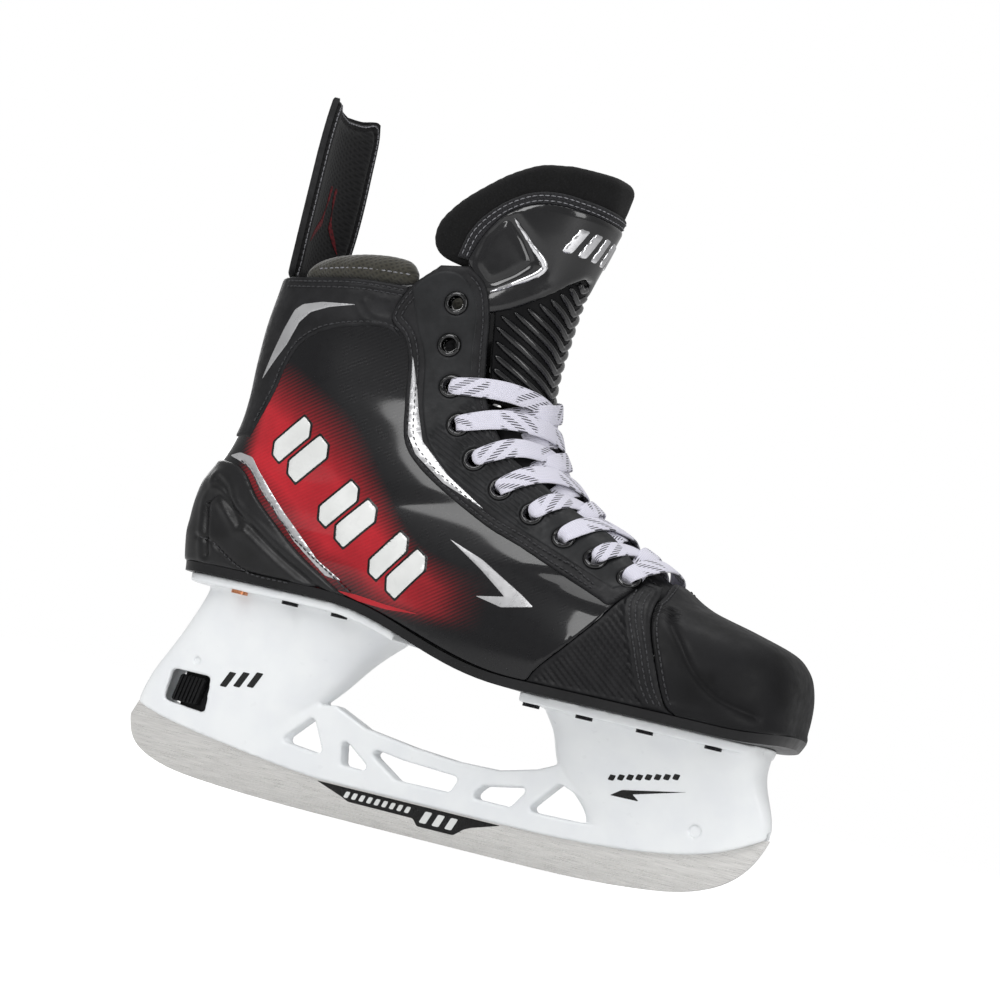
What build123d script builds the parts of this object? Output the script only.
"""Ice hockey skate for the right foot: boot, tendon guard, tongue, lace, holder and runner.

Frame: +X towards the toe, +Y towards the inner (medial) side, +Z up. The origin is on the ice
under the middle of the runner, in the runner's own plane. Millimetres.
"""

import os
from functools import lru_cache
from math import copysign, cos, hypot, pi, radians, sin, tan

from build123d import *

# ---------------------------------------------------------------- driving dimensions
RUNNER_LENGTH = 296.0
RUNNER_THICK = 3.0
FLAT_LENGTH = 60.0  # middle stretch of the edge that lies flat on the ice
RAIL_HALF = 5.0  # half the holder's width where it grips the runner
SLOT_GAP = 0.12  # between the runner's side and the holder's slot

REAR_SOLE_Z = 89.0  # underside of the outsole at the heel
FRONT_SOLE_Z = 70.0  # and at the ball and toe
SOLE_THICK = 4.0
BOARD_THICK = 2.0
FOOTBED_THICK = 5.0
WASHER_ROOM = 1.6  # the lining and footbed start this far above the board, over the washers
FLANGE_THICK = 4.0
SHELL = 3.0  # wall of the quarters and the toe cap
LINER = 4.0  # lining and foam inside that wall
FACING = 1.2  # the lace facing stands this proud of the quarter
THROAT_HALF = 23.0  # half the gap between the two facings

GUARD_TOP_Z = 304.0
GUARD_PIVOT = (-113.5, 231.0)  # x, z of the line the tendon guard flexes about
GUARD_HEEL_R = 9.0  # round foot of the guard about that line
GUARD_HALF = 28.0
GUARD_BACK_X = -119.0
GUARD_PLAN_R = 60.0  # plan radius of the arc round the back of the ankle
TONGUE_TOP_Z = 291.0
CROWN_HALF = 7.5  # half the width of the raised middle of the lower tongue

TRIGGER_PIVOT = (-119.0, 52.0)  # x, z of the latch pin
HOOK_PIVOT = (118.0, 31.0)  # x, z of the pin that the runner hangs on
LATCH_HALF = 3.6  # half the trigger's width
PIN_FIT = 0.05  # radial running clearance on the two pins
PIN_SEAT = 0.02  # and round them in the holder, which grips them
TRIGGER_PIN_R = 1.5
HOOK_PIN_R = 2.5
SPRING_ROOM_R = 3.7  # pocket for the trigger's spring
SEAT_GAP = 0.01  # between the holder and the sole it is riveted to

LACE_R = 1.6
LACE_BEND = 2 * LACE_R  # radius where the lace turns through an eyelet
LACE_SWEEP = 12.0  # and where it only leans from the facing to the tongue
EYELET_BORE_R = 2.8
EYELET_BARREL_R = 3.5
EYELET_FLANGE_R = 5.2
EYELET_SEAT = 0.1  # depth of the spot-face under the eyelet's rim
RIVET_R = 1.9
RIVET_HEAD_R = 3.6
RIVET_HEAD = 1.4  # height of the head
WASHER_R = 4.2

# Form of the boot. Each row is one level of it: height, heel end, toe end, half-width at the
# heel, half-width towards the toe, and how square the heel end and the toe end are.
BOOT_LEVELS = [
    (52.0, -129.0, 142.0, 30.0, 44.0, 4.6, 3.8),
    (64.0, -130.0, 145.0, 31.0, 46.5, 4.6, 3.8),
    (76.0, -131.0, 147.5, 32.0, 48.5, 4.6, 3.8),
    (90.0, -132.0, 148.0, 33.0, 49.0, 4.6, 3.8),
    (100.0, -134.0, 146.5, 34.0, 47.5, 4.5, 3.6),
    (106.0, -135.0, 143.5, 34.5, 45.5, 4.4, 3.4),
    (111.0, -135.0, 137.0, 34.5, 43.0, 4.3, 3.2),
    (116.0, -135.0, 120.0, 34.5, 40.0, 4.2, 3.0),
    (121.0, -134.5, 100.0, 35.0, 37.0, 4.1, 3.0),
    (128.0, -133.0, 86.0, 35.5, 34.5, 4.0, 3.1),
    (136.0, -129.0, 69.0, 36.0, 32.5, 3.8, 3.2),
    (145.0, -125.0, 49.0, 37.0, 32.0, 3.6, 3.3),
    (156.0, -122.0, 31.0, 38.0, 31.5, 3.4, 3.2),
    (168.0, -121.0, 20.0, 38.5, 31.0, 3.3, 3.0),
    (182.0, -121.5, 13.0, 38.5, 30.5, 3.2, 2.8),
    (200.0, -121.5, 10.0, 38.0, 30.5, 3.1, 2.6),
    (220.0, -119.5, 11.0, 38.5, 31.0, 3.0, 2.5),
    (240.0, -118.5, 13.0, 39.5, 32.0, 3.0, 2.5),
    (262.0, -118.0, 19.0, 40.0, 34.0, 3.0, 2.5),
    (282.0, -117.0, 24.5, 40.0, 35.0, 3.0, 2.5),
    (304.0, -116.0, 28.0, 40.0, 35.5, 3.0, 2.5),
]
TOE_TURN = 3.0  # the toe end leans this far to the inner side
RING_POINTS = 20

# Lace holes of one side, top to bottom, as x and z on the facing.
EYELETS = [
    (-30.0, 223.5),
    (-29.0, 205.5),
    (-24.0, 188.5),
    (-16.5, 173.0),
    (-5.5, 160.0),
    (9.0, 150.0),
    (25.0, 142.5),
    (41.0, 135.5),
    (56.5, 129.5),
    (72.0, 124.5),
]
FIRST_LACED = 2  # the two top pairs are left open

FRONT_RIVET_X = (45.0, 69.0, 95.0, 123.0)
REAR_RIVET_X = (-51.0, -75.0)
COPPER_RIVET_X = -100.0


# ---------------------------------------------------------------- form of the boot
@lru_cache(maxsize=None)
def boot_levels(offset):
    """The rows of BOOT_LEVELS moved outwards by offset, square to the boot's profile."""
    rows = BOOT_LEVELS
    moved = []
    for i, (z, _, toe, wide_heel, wide_toe, *squares) in enumerate(rows):
        low, high = rows[max(i - 1, 0)], rows[min(i + 1, len(rows) - 1)]
        run, rise = high[2] - low[2], high[0] - low[0]
        length = hypot(run, rise)
        z_new = z - offset * run / length
        heel_new = interpolate(rows, z_new)[0] - offset
        toe_new = toe + offset * rise / length
        moved.append((z_new, heel_new, toe_new, wide_heel + offset, wide_toe + offset, *squares))
    return moved


def interpolate(rows, z):
    """The columns after the first at height z, by cubic interpolation between the rows."""
    k = max(i for i in range(len(rows) - 1) if rows[i][0] <= max(z, rows[0][0]))
    z0, z1 = rows[k][0], rows[k + 1][0]
    t = (z - z0) / (z1 - z0)

    def slope(i, col):
        low, high = rows[max(i - 1, 0)], rows[min(i + 1, len(rows) - 1)]
        return (high[col] - low[col]) / (high[0] - low[0]) * (z1 - z0)

    def value(col):
        a, b = rows[k][col], rows[k + 1][col]
        ends = (2 * t**3 - 3 * t**2 + 1) * a + (3 * t**2 - 2 * t**3) * b
        return ends + (t**3 - 2 * t**2 + t) * slope(k, col) + (t**3 - t**2) * slope(k + 1, col)

    return [value(col) for col in range(1, 7)]


def smooth(value, low, high):
    """0 below low, 1 above high, smooth between."""
    t = min(max((value - low) / (high - low), 0.0), 1.0)
    return t * t * (3 - 2 * t)


def mid_y(x):
    """The middle line of the boot, which turns in towards the big toe."""
    return TOE_TURN * max(x, 0.0) ** 2 / 148.0**2


def widest(u, wide_heel, wide_toe):
    """Half-width before the ends are rounded; u runs from -1 at the heel to 1 at the toe."""
    return wide_heel + (wide_toe - wide_heel) * smooth(u, -0.5, 0.45)


def half_width(x, z, offset=0.0):
    """Half the boot's width at x and z, on a surface that lies offset outside it."""
    heel, toe, wide_heel, wide_toe, heel_square, toe_square = interpolate(boot_levels(offset), z)
    u = (2 * x - heel - toe) / (toe - heel)
    power = toe_square if u > 0 else heel_square
    return widest(u, wide_heel, wide_toe) * max(1 - abs(u) ** power, 0.0) ** (1 / power)


def ring(z, offset):
    """The closed outline of the boot at height z."""
    heel, toe, _, _, heel_square, toe_square = interpolate(boot_levels(offset), z)
    points = []
    for i in range(RING_POINTS):
        angle = 2 * pi * (i + 0.5) / RING_POINTS
        c, side = cos(angle), copysign(1, sin(angle))
        power = toe_square if c > 0 else heel_square
        x = (heel + toe) / 2 + (toe - heel) / 2 * copysign(abs(c) ** (2 / power), c)
        points.append(Vector(x, mid_y(x) + side * half_width(x, z, offset), z))
    return Wire([Edge.make_spline(points, periodic=True)])


def boot_form(offset, low=63.0, high=241.0):
    """The solid inside the boot's surface, grown by offset."""
    heights = [row[0] for row in boot_levels(offset) if low + 1 < row[0] < high - 1]
    return Solid.make_loft([ring(z, offset) for z in [low, *heights, high]])


def surface_point(x, z, side, offset=0.0):
    """A point on the boot's surface; side is -1 outer, +1 inner."""
    return Vector(x, mid_y(x) + side * half_width(x, z, offset), z)


def surface_normal(x, z, side):
    """The outward normal there."""
    step = 0.5
    dx = (half_width(x + step, z) - half_width(x - step, z)) / (2 * step)
    dz = (half_width(x, z + step) - half_width(x, z - step)) / (2 * step)
    return Vector(-dx, side, -dz).normalized()


# ---------------------------------------------------------------- helpers
def side_face(points):
    """A flat face in the XZ plane with straight sides."""
    return make_face(Plane.XZ * Polyline(*points, close=True))


def side_prism(points, half=80.0):
    """That face made into a prism across the skate."""
    return extrude(side_face(points), amount=half, both=True)


def profile_prism(lines, half=80.0):
    """A prism across the skate from lines and curves that join end to end."""
    edges = [edge for line in lines for edge in (Plane.XZ * line).edges()]
    return extrude(make_face(edges), amount=half, both=True)


def rounded_prism(points, radius, half):
    """A prism across the skate whose corners are rounded."""
    outline = Plane.XZ * FilletPolyline(*points, radius=radius, close=True)
    return extrude(make_face(outline), amount=half, both=True)


def cross_pin(x, z, radius, half):
    """A cylinder across the skate, centred on its plane."""
    return Pos(x, 0, z) * Rot(90, 0, 0) * Cylinder(radius, 2 * half)


def half_space(side):
    """Everything on one side of the skate's middle plane."""
    return Pos(0, side * 100.0, 150.0) * Box(400, 200, 400)


def largest(shape):
    """The largest solid of a cut."""
    return max(shape.solids(), key=lambda solid: solid.volume)


def save(name, *shapes):
    solids = [solid for shape in shapes for solid in shape.solids()]
    whole = solids[0] if len(solids) == 1 else Compound(children=solids)
    export_step(whole, f"parts/{name}.step")


# ---------------------------------------------------------------- sole line
def sole_edge(rise):
    """The underside of the outsole, seen from the side, lifted by rise."""
    rear, front = REAR_SOLE_Z + rise, FRONT_SOLE_Z + rise
    heel_run = Line((-150, rear), (-62, rear))
    drop = Spline((-62, rear), (-12, 79.5 + rise), (40, front), tangents=[(1, 0), (1, 0)])
    toe_run = Line((40, front), (128, front))
    toe_spring = Spline((128, front), (155, front + 5.0), tangents=[(1, 0), (1, 0.35)])
    return [heel_run, drop, toe_run, toe_spring]


def above_sole(rise, top=310.0):
    """Everything above the lifted sole line."""
    edges = sole_edge(rise)
    end = edges[-1] @ 1
    frame = Polyline((end.X, end.Y), (end.X, top), (-150, top), (-150, REAR_SOLE_Z + rise))
    return profile_prism([*edges, frame])


def sole_height(x):
    """Height of the sole line at x."""
    edge = next(edge for edge in sole_edge(0.0) if x <= (edge @ 1).X)
    low, high = 0.0, 1.0
    for _ in range(30):
        middle = (low + high) / 2
        if (edge @ middle).X < x:
            low = middle
        else:
            high = middle
    return (edge @ low).Y


def sole_band(low, high):
    """The layer between two lifts of the sole line."""
    return above_sole(low) - above_sole(high)


# ---------------------------------------------------------------- runner and latch
def rail_edge():
    """Underside of the holder, which hides the steel above it."""
    half = RUNNER_LENGTH / 2
    rear = Spline((-half + 2, 29), (-98, 19.5), (-50, 14.5), tangents=[(1, -0.36), (1, -0.04)])
    middle = Line((-50, 14.5), (40, 14.5))
    front = Spline((40, 14.5), (96, 17.5), (131, 25.5), (half, 34.5), tangents=[(1, 0), (1, 0.62)])
    return [rear, middle, front]


def runner_body():
    half, flat = RUNNER_LENGTH / 2, FLAT_LENGTH / 2
    heel = Spline((-flat, 0), (-108, 1.9), (-133, 6), (-144, 12.5), (-half, 23),
                  tangents=[(-1, 0), (-0.12, 1)])
    toe = Spline((flat, 0), (98, 2.4), (120, 6.5), (138, 16.5), (half, 34),
                 tangents=[(1, 0), (0.3, 1)])
    edges = [Line((-flat, 0), (flat, 0)), heel, toe]
    top = Polyline((-half, 23), (-half + 2.5, 29.5), (-98, 24.5), (-50, 19.5), (60, 19.5),
                   (100, 23), (128, 29.5), (half, 34))
    blade = profile_prism([*edges, top], RUNNER_THICK / 2)
    rear_hook = rounded_prism([(-108.5, 22), (-108.5, 38), (-100, 38), (-92, 22)], 1.2,
                              RUNNER_THICK / 2)
    front_post = side_prism([(110, 21), (112.5, HOOK_PIVOT[1]), (123.5, HOOK_PIVOT[1]), (128, 27)],
                            RUNNER_THICK / 2)
    eye = cross_pin(*HOOK_PIVOT, 5.5, RUNNER_THICK / 2)
    return blade + rear_hook + front_post + eye


def runner():
    pin = cross_pin(*HOOK_PIVOT, 2.5 + PIN_FIT, 5)
    x, z = HOOK_PIVOT
    mouth = side_prism([(x, z - 2.2), (x - 9, z + 1.5), (x - 9, z + 8), (x, z + 2.2)], 5)
    notch = side_prism(tooth_outline(0.3), 5)
    return largest(runner_body() - pin - mouth - notch)


def tooth_outline(gap):
    """The latch tooth: a wedge that points forward into the rear hook."""
    tip_x = -105.5 + gap
    return [(tip_x, 29.5), (-113, 37 + gap), (-113, 25.5 - gap), (tip_x, 28.5 - gap)]


def trigger():
    x, z = TRIGGER_PIVOT
    lever = rounded_prism([(x - 5, z + 4), (x + 4.5, z + 4), (x + 6, 40), (x + 7, 28.2),
                           (x - 5, 29), (x - 7, 38)], 2.0, LATCH_HALF)
    hub = cross_pin(x, z, 5.5, LATCH_HALF)
    tooth = side_prism(tooth_outline(0.0), 1.3)
    ribs = Part()
    for k in range(5):
        ribs += Pos(x - 0.5, 0, 31.5 + 2.6 * k) * Box(9, 2 * LATCH_HALF + 0.6, 1.1)
    body = lever + hub + tooth + ribs
    return largest(body - cross_pin(x, z, 1.5 + PIN_FIT, 10))


def trigger_spring():
    x, z = TRIGGER_PIVOT
    coil = Helix(pitch=0.85, height=2.6, radius=2.5)
    start = Plane(origin=coil @ 0, z_dir=coil % 0)
    wire = sweep(start * Circle(0.35), path=coil)
    return Pos(x, -LATCH_HALF - 3.4, z) * Rot(-90, 0, 0) * wire


# ---------------------------------------------------------------- holder
def rounded_level(z, rear, front, half):
    """One level of a tower: a squarish oval."""
    middle, length, square = (rear + front) / 2, (front - rear) / 2, 3.2
    points = []
    for i in range(24):
        angle = 2 * pi * (i + 0.5) / 24
        c, s = cos(angle), sin(angle)
        x = middle + length * (1 if c > 0 else -1) * abs(c) ** (2 / square)
        y = half * (1 if s > 0 else -1) * abs(s) ** (2 / square)
        points.append(Vector(x, y, z))
    return Wire([Edge.make_spline(points, periodic=True)])


REAR_TOWER = [
    (12, -146.5, -70, 5.6),
    (24, -146.5, -70, 6.0),
    (34, -145, -69, 7.0),
    (48, -139.5, -57, 9.3),
    (60, -133, -47, 12.0),
    (70, -128, -39, 15.0),
    (80, -123.5, -29, 18.5),
    (REAR_SOLE_Z - 0.5, -122, -24, 21.0),
]
FRONT_TOWER = [
    (12, 72, 147.8, 5.4),
    (22, 70, 147.8, 5.8),
    (32, 64, 147.8, 6.8),
    (44, 52, 146, 9.5),
    (53, 48.5, 142, 13.0),
    (61, 45, 139.5, 18.0),
    (FRONT_SOLE_Z - 0.5, 41.5, 139, 23.0),
]


def tower(levels, shrink=0.0):
    return Solid.make_loft([rounded_level(z, rear + shrink, front - shrink, half - shrink)
                            for z, rear, front, half in levels])


def above_rail():
    """Everything above the holder's lower edge."""
    edges = rail_edge()
    first, last = edges[0] @ 0, edges[-1] @ 1
    frame = Polyline((last.X, last.Y), (160, last.Y), (160, 100), (-160, 100), (-160, first.Y),
                     (first.X, first.Y))
    return profile_prism([*edges, frame])


def bridge():
    """The trussed bridge between the towers."""
    web = side_prism([(-110, 10), (-110, 40), (-66, 44), (-52, 47), (-36, 40.5), (-13, 37.5),
                      (8, 36), (28, 36.5), (44, 40.5), (56, 46), (110, 42), (110, 10)], RAIL_HALF)
    windows = [
        [(-74, 27), (-61, 40.5), (-52.5, 25)],
        [(-46, 35), (-43.5, 23), (-28, 22.5)],
        [(-36, 33.5), (-16, 30.8), (11, 29.5), (8, 22.5), (-17, 22.2)],
        [(17, 22.5), (22, 28.5), (43, 32.5), (36, 22.5)],
        [(43, 22.8), (55, 37), (79, 28.5), (76, 23.5)],
    ]
    for corners in windows:
        web -= rounded_prism(corners, 1.6, 20)
    return web


def flange(low, high, rear, front, inset):
    """The plate under the sole that the boot is riveted to; it follows the sole line."""
    plate = boot_form(-inset, low, high) & sole_band(-FLANGE_THICK, 0)
    block = Pos((rear + front) / 2, 0, (low + high) / 2) * Box(front - rear, 120, 60)
    block = fillet(block.edges().filter_by(Axis.Z), 7.0)
    return plate & block


def rivet_places(xs, inset):
    """Both sides of the sole at each x, inset from its edge."""
    return [(x, mid_y(x) + side * (half_width(x, FRONT_SOLE_Z if x > 0 else REAR_SOLE_Z) - inset))
            for x in xs for side in (-1, 1)]


FRONT_RIVETS = rivet_places(FRONT_RIVET_X, 14.5)
REAR_RIVETS = rivet_places(REAR_RIVET_X, 7.5)
COPPER_RIVETS = rivet_places([COPPER_RIVET_X], 7.0)


def shank(x, y, low, high, radius):
    return Pos(x, y, (low + high) / 2) * Cylinder(radius, high - low)


def rivet_holes(gap=0.03):
    holes = [shank(x, y, 55, 90, RIVET_R + gap) for x, y in FRONT_RIVETS]
    holes += [shank(x, y, 75, 110, RIVET_R + gap) for x, y in REAR_RIVETS + COPPER_RIVETS]
    return holes


def head_seats():
    """Flat spots under the flanges for the rivet heads."""
    seats = []
    for x, y in FRONT_RIVETS + REAR_RIVETS + COPPER_RIVETS:
        low = sole_height(x) - FLANGE_THICK
        seats.append(shank(x, y, low - RIVET_HEAD - 0.1, low, RIVET_HEAD_R + 0.1))
    return seats


def washer_seats():
    """Flat spots on the insole board for the washers."""
    seats = []
    for x, y in FRONT_RIVETS + REAR_RIVETS + COPPER_RIVETS:
        top = sole_height(x) + SOLE_THICK + BOARD_THICK
        seats.append(shank(x, y, top, top + 3, WASHER_R + 0.05))
    return seats


def swept_runner():
    """The room the runner needs in its slot as it swings."""
    wide = RUNNER_THICK + 2 * SLOT_GAP
    x, z = HOOK_PIVOT
    hook_room = side_prism([(-112, 10), (-112, 41), (-98, 41), (-88, 10)], wide / 2)
    post_room = side_prism([(106, 15), (109, z + 8), (127, z + 8), (132, 15)], wide / 2)
    strip = side_prism([(-160, 10), (-160, 31.5), (-98, 27), (-50, 21.5), (60, 21.5), (98, 25),
                        (126, 32.5), (160, 40), (160, 10)], wide / 2)
    return strip + hook_room + post_room + cross_pin(x, z, 7, wide / 2)


def holder():
    body = tower(REAR_TOWER) + tower(FRONT_TOWER) + bridge()
    body += flange(FRONT_SOLE_Z, REAR_SOLE_Z + 2, -140, -21, 2.0)
    body += flange(FRONT_SOLE_Z - 8, FRONT_SOLE_Z + 8, 41, 143, 8.0)
    body = (body & above_rail()) - above_sole(-SEAT_GAP)
    rear_hollow = [(z, a, b, h) for z, a, b, h in REAR_TOWER if z > 58]
    rear_hollow[-1] = (REAR_SOLE_Z + 1, *rear_hollow[-1][1:])
    front_hollow = [(z, a, b, h) for z, a, b, h in FRONT_TOWER if z > 50]
    front_hollow[-1] = (FRONT_SOLE_Z + 1, *front_hollow[-1][1:])
    body -= tower(rear_hollow, 4.0)
    body -= tower(front_hollow, 4.0)
    body -= swept_runner()
    x, z = TRIGGER_PIVOT
    body -= side_prism([(-137, 25.5), (-137, 38), (-128, 58.5), (-112, 58.5), (-104.5, 40),
                        (-104.5, 25.5)], LATCH_HALF + 0.5)
    body -= rounded_prism([(-130.5, 46.5), (-111, 46.5), (-111, 30.5), (-132, 32.5)], 2.0, 30)
    body -= cross_pin(x, z, TRIGGER_PIN_R + PIN_SEAT, 30)
    body -= cross_pin(x, z, SPRING_ROOM_R, LATCH_HALF + 4.2)
    body -= cross_pin(*HOOK_PIVOT, HOOK_PIN_R + PIN_SEAT, 30)
    return largest(body - rivet_holes() - head_seats())


# ---------------------------------------------------------------- fastenings
def rivet(x, y):
    """A low head under the flange and a shank up through the sole and the insole board."""
    low = sole_height(x) - FLANGE_THICK
    top = sole_height(x) + SOLE_THICK + BOARD_THICK
    head = shank(x, y, low - RIVET_HEAD, low, RIVET_HEAD_R)
    return head + shank(x, y, low, top + 0.6, RIVET_R)


def washer(x, y):
    """The washer that a rivet is closed on, on top of the insole board."""
    ring_shape = Cylinder(WASHER_R, 0.8) - Cylinder(RIVET_R + 0.03, 2)
    return Pos(x, y, sole_height(x) + SOLE_THICK + BOARD_THICK + 0.42) * ring_shape


# ---------------------------------------------------------------- boot parts
BASE = SOLE_THICK + 0.05  # the upper stands this far above the sole line

FACING_FRONT = [(77, 126), (57, 138), (42, 144.5), (28, 152), (10, 163.5), (-3, 177),
                (-10, 191), (-13, 205), (-15.5, 222), (-20, 234), (-28, 240)]
FACING_BACK = [(-40, 238), (-50, 227), (-56, 214), (-46, 205), (-41, 192), (-38, 176),
               (-31, 161), (-19, 150), (11, 133), (37, 123), (60, 112)]
QUARTER_FRONT = [(77, 124), (71, 108), (61, 94), (48, 77), (40, 60)]
COLLAR_LINE = [(-40, 238), (-50, 228), (-72, 225.5), (-97, 222.5), (-124, 221)]
TOE_CAP_REAR = [(84, 140), (86, 127), (90, 113), (98, 94), (107, 75), (112, 60)]


def throat():
    """The gap between the facings, from the toe cap up."""
    inner = [(100, 108), (60, 121), (28, 135), (0, 150), (-24, 176), (-32, 200), (-34, 236)]
    return side_prism([*inner, (-34, 330), (200, 330), (200, 108)], THROAT_HALF)


def quarter_region():
    return side_prism([(-160, 60), (-160, 221), *reversed(COLLAR_LINE), *reversed(FACING_FRONT),
                       *QUARTER_FRONT])


def guard_room():
    """The round seat that the tendon guard's foot turns in."""
    return cross_pin(*GUARD_PIVOT, GUARD_HEEL_R + 0.5, GUARD_HALF + 4)


def quarters(wall):
    region = quarter_region() - throat() - guard_room() - Pos(-140, 0, 150) * Box(60, 9.0, 300)
    halves = [region & half_space(side) for side in (-1, 1)]
    return [largest(wall & half) for half in halves]


def backstay(wall):
    strip = wall & (Pos(-140, 0, 150) * Box(60, 8.8, 300)) & side_prism(
        [(-160, 60), (-160, 221), (-60, 221), (-60, 60)])
    return largest(strip - guard_room())


def toe_cap(wall):
    return largest(wall & side_prism([*TOE_CAP_REAR, (200, 60), (200, 140)]))


def vamp(wall):
    outline = [(77.3, 124.3), (71.3, 108), (61.3, 94), (48.3, 77), (40.3, 60), (111.6, 60),
               (106.6, 75), (97.6, 94), (89.6, 113), (85.6, 127), (83.6, 140), (77.3, 140)]
    strip = wall & (side_prism(outline) - throat())
    return [largest(strip & half_space(side)) for side in (-1, 1)]


def eyestays(layer):
    region = side_prism([*FACING_FRONT, *FACING_BACK]) - throat()
    return [largest(layer & (region & half_space(side))) for side in (-1, 1)]


def heel_counter(layer):
    outline = [(-160, 60), (-160, 132), (-131, 139), (-117, 138.5), (-107, 135), (-98, 125),
               (-74, 107), (-58, 98), (-44, 88), (-44, 60)]
    return largest(layer & side_prism(outline))


def liner():
    wall = boot_form(-SHELL - 0.05) - boot_form(-SHELL - LINER)
    wall = wall & above_sole(BASE + BOARD_THICK + WASHER_ROOM)
    region = side_prism([(-160, 60), (-160, 219), (-97, 221), (-72, 223.5), (-56, 225), (-54, 206),
                         (-50, 192), (-47, 176), (-39, 160), (-24, 146), (6, 130), (34, 119),
                         (64, 108), (90, 103), (160, 103), (160, 60)])
    return largest(wall & (region - guard_room()))


def eyelet(x, z, side, outside):
    """A flanged ring through the facing, square to the surface."""
    face = surface_point(x, z, side, outside)
    out = surface_normal(x, z, side)
    seat = Plane(origin=face, z_dir=out)
    depth = SHELL + FACING + 0.4
    barrel = seat * Pos(0, 0, -depth / 2 + 0.4) * Cylinder(EYELET_BARREL_R, depth + 0.8)
    rim = seat * Pos(0, 0, 0.45) * Cylinder(EYELET_FLANGE_R, 0.9)
    bore = seat * Cylinder(EYELET_BORE_R, 30)
    return barrel + rim - bore


def eyelet_cutters(side):
    """Holes for the eyelets' barrels, and flat seats for their rims."""
    cutters = []
    for x, z in EYELETS:
        seat = Plane(origin=surface_point(x, z, side, FACING), z_dir=surface_normal(x, z, side))
        cutters.append(seat * Cylinder(EYELET_BARREL_R + 0.02, 30))
        spot = Cylinder(EYELET_FLANGE_R + 0.05, 10)
        cutters.append(seat * Pos(0, 0, 5 - EYELET_SEAT) * spot)
    return cutters


# ---------------------------------------------------------------- tendon guard
def tendon_guard(outside, inside):
    """A curved plate behind the ankle between two radii of its plan arc."""
    px, pz = GUARD_PIVOT
    shell = Cylinder(GUARD_PLAN_R + outside, 120) - Cylinder(GUARD_PLAN_R + inside, 120)
    shell = Pos(GUARD_BACK_X + GUARD_PLAN_R, 0, 262) * shell
    front_view = Plane.YZ * FilletPolyline(
        (-GUARD_HALF, pz), (-GUARD_HALF, GUARD_TOP_Z), (GUARD_HALF, GUARD_TOP_Z),
        (GUARD_HALF, pz), radius=5.0, close=True)
    outline = extrude(make_face(front_view), amount=200, both=True)
    keep = outline + cross_pin(px, pz, GUARD_HEEL_R, GUARD_HALF)
    body = shell & keep & (Pos(-140, 0, 262) * Box(80, 100, 120))
    low = Pos(0, 0, pz - 50) * Box(400, 200, 100) - cross_pin(px, pz, GUARD_HEEL_R, 60)
    return largest(body - low)


def collar_pads():
    """The padded roll round the top line, one on each side."""
    roll = boot_form(-SHELL + 1.5) - boot_form(-SHELL - LINER - 4)
    outline = [(-101, 222.9), (-99, 228), (-90, 232.5), (-72, 237), (-60, 238), (-51, 237),
               (-48, 230), (-50, 228.4), (-72, 225.9), (-97, 222.9)]
    piece = roll & side_prism(outline)
    piece -= Pos(-110, 0, 230) * Box(40, 2 * GUARD_HALF + 5, 60)
    return [largest(piece & half_space(side)) for side in (-1, 1)]


# ---------------------------------------------------------------- tongue
def tongue_lower():
    """Felt under the laces, crowned between the facings."""
    low, thick = SHELL + 4.6, 7.0
    pad = boot_form(-low) - boot_form(-low - thick)
    outline = [(88, 108), (80, 118), (60, 131), (40, 141), (20, 155), (6, 170), (-1, 184.5),
               (-8, 184.5), (-24, 184.5), (-24, 172), (-16, 158), (4, 144), (30, 131), (70, 114)]
    pad = pad & side_prism(outline, 30)
    crown = boot_form(-1.0) - boot_form(-low - 0.5)
    crown = crown & side_prism(outline[:7] + [(-20, 184.5), (-20, 160), (20, 140), (70, 112)],
                               CROWN_HALF)
    return largest(pad + crown)


def tongue_form(offset):
    return boot_form(offset, 182.0, 296.0)


def tongue_upper():
    """The tongue above the laces: narrow between the facings, wide above them."""
    pad = tongue_form(-2.5) - tongue_form(-10.5)
    outline = [(-16, 189.5), (25, 189.5), (30, 230), (40, 296), (26, TONGUE_TOP_Z),
               (-18, TONGUE_TOP_Z - 2), (-32, 272), (-41, 256), (-44, 246), (-15, 246)]
    outline = rounded_prism(outline, 3.0, 80)
    narrow = Pos(0, 0, 200) * Box(400, 2 * THROAT_HALF - 3, 92)
    wide = Pos(0, 0, 296) * Box(400, 120, 100)
    return largest(pad & outline & (narrow + wide))


def tongue_plate():
    """Moulded cover on the front of the upper tongue."""
    cover = tongue_form(-0.6) - tongue_form(-2.45)
    outline = rounded_prism([(-2, 240), (24, 240), (40, 284), (-10, 284), (-27, 262), (-18, 246)],
                            4.0, 80)
    return largest(cover & outline)


def tongue_ribs():
    """Curved bars below the cover that keep the laces off the shin."""
    cover = tongue_form(-0.6) - tongue_form(-2.45)
    bars = []
    for k in range(8):
        low = 192.5 + 5.6 * k
        bar = cover & side_prism([(-12, low), (40, low + 1), (40, low + 4.6), (-12, low + 3.6)],
                                 THROAT_HALF - 4)
        bars.append(largest(bar))
    return bars


# ---------------------------------------------------------------- lace
def front_x(y, z, offset):
    """Where the front of the boot's surface stands at y and z, or None beyond its width."""
    heel, toe, wide_heel, wide_toe, _, square = interpolate(boot_levels(offset), z)
    u = 0.9
    for _ in range(12):
        share = min(abs(y) / widest(u, wide_heel, wide_toe), 1.0)
        u = (1 - share**square) ** (1 / square)
    return (heel + toe) / 2 + (toe - heel) / 2 * u if share < 1 else None


def over_throat(x, y, z, offset):
    """The surface point at y that lies nearest to x and z, on the front of the boot."""
    best = None
    for step in range(240):
        height = 112 + 0.5 * step
        front = front_x(y, height, offset)
        if front is None:
            continue
        miss = hypot(front - x, height - z)
        if best is None or miss < best[0]:
            best = (miss, Vector(front, y + mid_y(front), height))
    return best[1]


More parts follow.
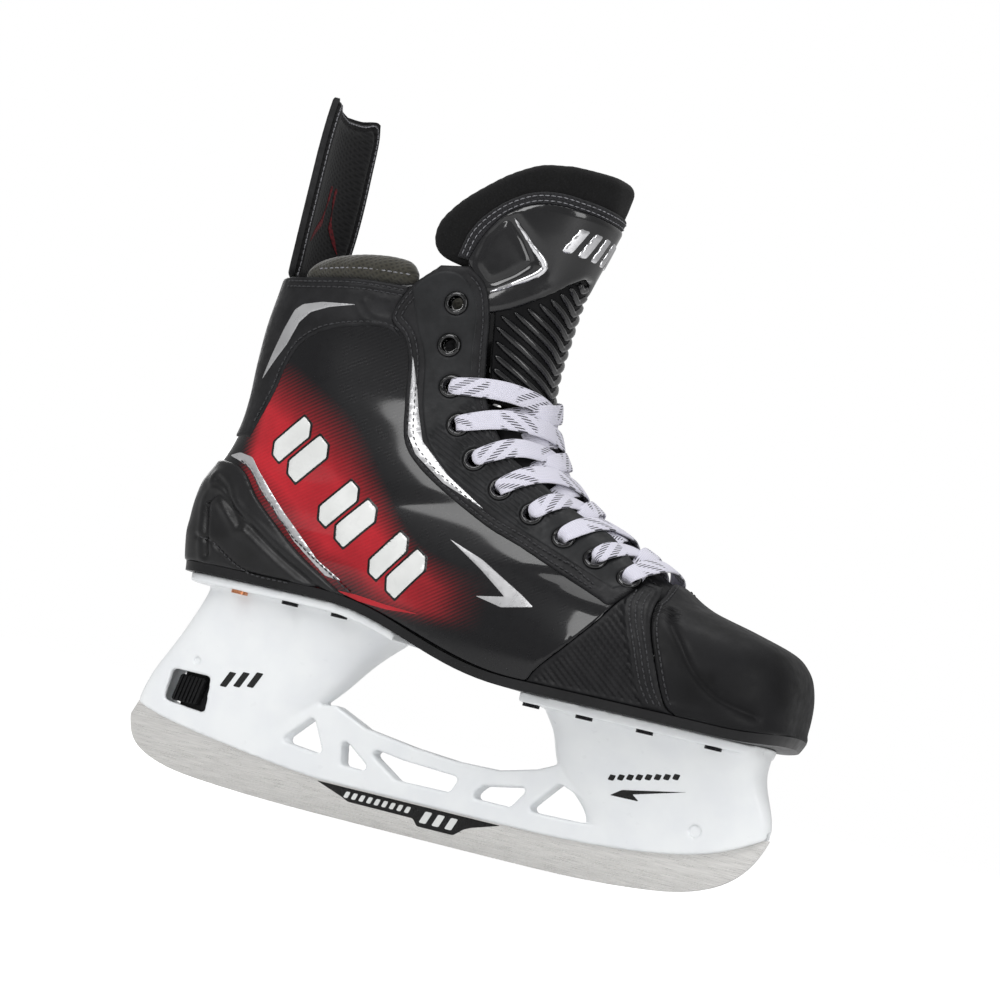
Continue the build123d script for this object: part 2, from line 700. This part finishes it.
INSIDE = -SHELL - LACE_R - 0.9  # the lace's level under the facing
OUTSIDE = FACING + LACE_R + 1.7  # and over it
CROWN = LACE_R - 0.4  # and over the tongue


def eyelet_line(number, side):
    """Middle of the lace where it enters an eyelet outside, and where it leaves it inside."""
    x, z = EYELETS[number]
    seat, out = surface_point(x, z, side), surface_normal(x, z, side)
    return seat + out * (OUTSIDE + 0.8), seat + out * INSIDE


def strand(start, side, lift):
    """Points of a strand from inside one eyelet to the next one up on the other side.

    It comes out from under the facing, crosses the tongue and goes over the other facing.
    lift raises it where it passes over its partner.
    """
    x0, z0 = EYELETS[start]
    x1, z1 = EYELETS[start - 1]
    y0 = half_width(x0, z0)
    y1 = half_width(x1, z1)
    steps = [(0.94 * THROAT_HALF, INSIDE), (9.0, CROWN + lift), (-9.0, CROWN + lift),
             (-1.04 * THROAT_HALF, OUTSIDE)]
    points = []
    for y, offset in steps:
        share = (y0 - y) / (y0 + y1)
        points.append(over_throat(x0 + share * (x1 - x0), side * y, z0 + share * (z1 - z0), offset))
    return points


def lace_half(side):
    """Points from the middle of the bottom bar to the end tucked in beside the tongue."""
    points = []
    number = len(EYELETS) - 1
    while number > FIRST_LACED:
        points += eyelet_line(number, side)
        over = (number % 2 == 0) == (side > 0)
        points += strand(number, side, 2 * LACE_R + 0.6 if over else 0.0)
        number -= 1
        side = -side
    points += eyelet_line(number, side)
    x, z = EYELETS[number]
    points.append(surface_point(x + 2, z - 9, side, INSIDE))
    return points


def lace():
    """One lace: a bar across the bottom pair of eyelets, then criss-cross to the top pair."""
    x, z = EYELETS[-1]
    bar = [over_throat(x, y, z, OUTSIDE) for y in (-20.0, -7.0, 7.0, 20.0)]
    points = [*reversed(lace_half(-1)), *bar, *lace_half(1)]
    bends = []
    for before, here, after in zip(points, points[1:], points[2:]):
        turn = radians((here - before).get_angle(after - here))
        run = min((here - before).length, (after - here).length)
        limit = LACE_BEND if turn > radians(60) else LACE_SWEEP
        bends.append(min(0.45 * run / tan(turn / 2), limit))
    print("lace radii", sorted(round(bend, 1) for bend in bends)[:6])
    route = FilletPolyline(*points, radius=bends)
    section = Plane(origin=route @ 0, z_dir=route % 0) * Circle(LACE_R)
    tube = sweep(section, path=route)
    print("lace length", round(route.length), "fill", round(
        tube.volume / (pi * LACE_R**2 * route.length), 4))
    return tube


# ---------------------------------------------------------------- assembly
def build():
    os.makedirs("parts", exist_ok=True)
    outer, inner, proud = boot_form(0.0), boot_form(-SHELL), boot_form(FACING)
    upper = above_sole(BASE)
    wall = (outer - inner) & upper
    layer = (proud - outer) & upper
    sides = quarters(wall)
    stays = eyestays(layer)
    for side, name in ((0, "outer"), (1, "inner")):
        sign = 2 * side - 1
        quarter, stay = sides[side], stays[side]
        holes = eyelet_cutters(sign)
        for hole in holes:
            stay -= hole
        save(f"quarter_{name}", largest(quarter - holes))
        save(f"eyestay_{name}", largest(stay))
        save(f"eyelets_{name}", *[eyelet(x, z, sign, FACING) for x, z in EYELETS])
    save("backstay", backstay(wall))
    save("toe_cap", toe_cap(wall))
    for name, half in zip(("vamp_outer", "vamp_inner"), vamp(wall)):
        save(name, half)
    save("heel_counter", heel_counter(layer))
    save("liner", liner())
    sole = boot_form(0.8) & sole_band(0, SOLE_THICK)
    board = boot_form(-SHELL - 0.1) & sole_band(SOLE_THICK, SOLE_THICK + BOARD_THICK)
    bed_low = SOLE_THICK + BOARD_THICK + WASHER_ROOM
    bed_high = SOLE_THICK + BOARD_THICK + FOOTBED_THICK
    bed = boot_form(-SHELL - LINER - 0.1) & sole_band(bed_low, bed_high)
    save("outsole", largest(sole - rivet_holes()))
    save("insole_board", largest(board - rivet_holes() - washer_seats()))
    save("footbed", largest(bed))
    save("tendon_guard", tendon_guard(0.0, -3.0))
    save("guard_lining", tendon_guard(-3.05, -8.0))
    pads = collar_pads()
    save("collar_outer", pads[0])
    save("collar_inner", pads[1])
    save("tongue_lower", tongue_lower())
    save("tongue_upper", tongue_upper())
    save("tongue_plate", tongue_plate())
    save("tongue_ribs", *tongue_ribs())
    save("lace", lace())
    save("holder", holder())
    save("runner", runner())
    save("trigger", trigger())
    save("trigger_pin", cross_pin(*TRIGGER_PIVOT, TRIGGER_PIN_R, 8.6))
    save("trigger_spring", trigger_spring())
    save("front_hook_pin", cross_pin(*HOOK_PIVOT, HOOK_PIN_R, 5.6))
    save("rivets_front", *[rivet(x, y) for x, y in FRONT_RIVETS])
    save("rivets_rear", *[rivet(x, y) for x, y in REAR_RIVETS])
    save("rivets_copper", *[rivet(x, y) for x, y in COPPER_RIVETS])
    save("washers_front", *[washer(x, y) for x, y in FRONT_RIVETS])
    save("washers_rear", *[washer(x, y) for x, y in REAR_RIVETS + COPPER_RIVETS])


if __name__ == "__main__":
    build()
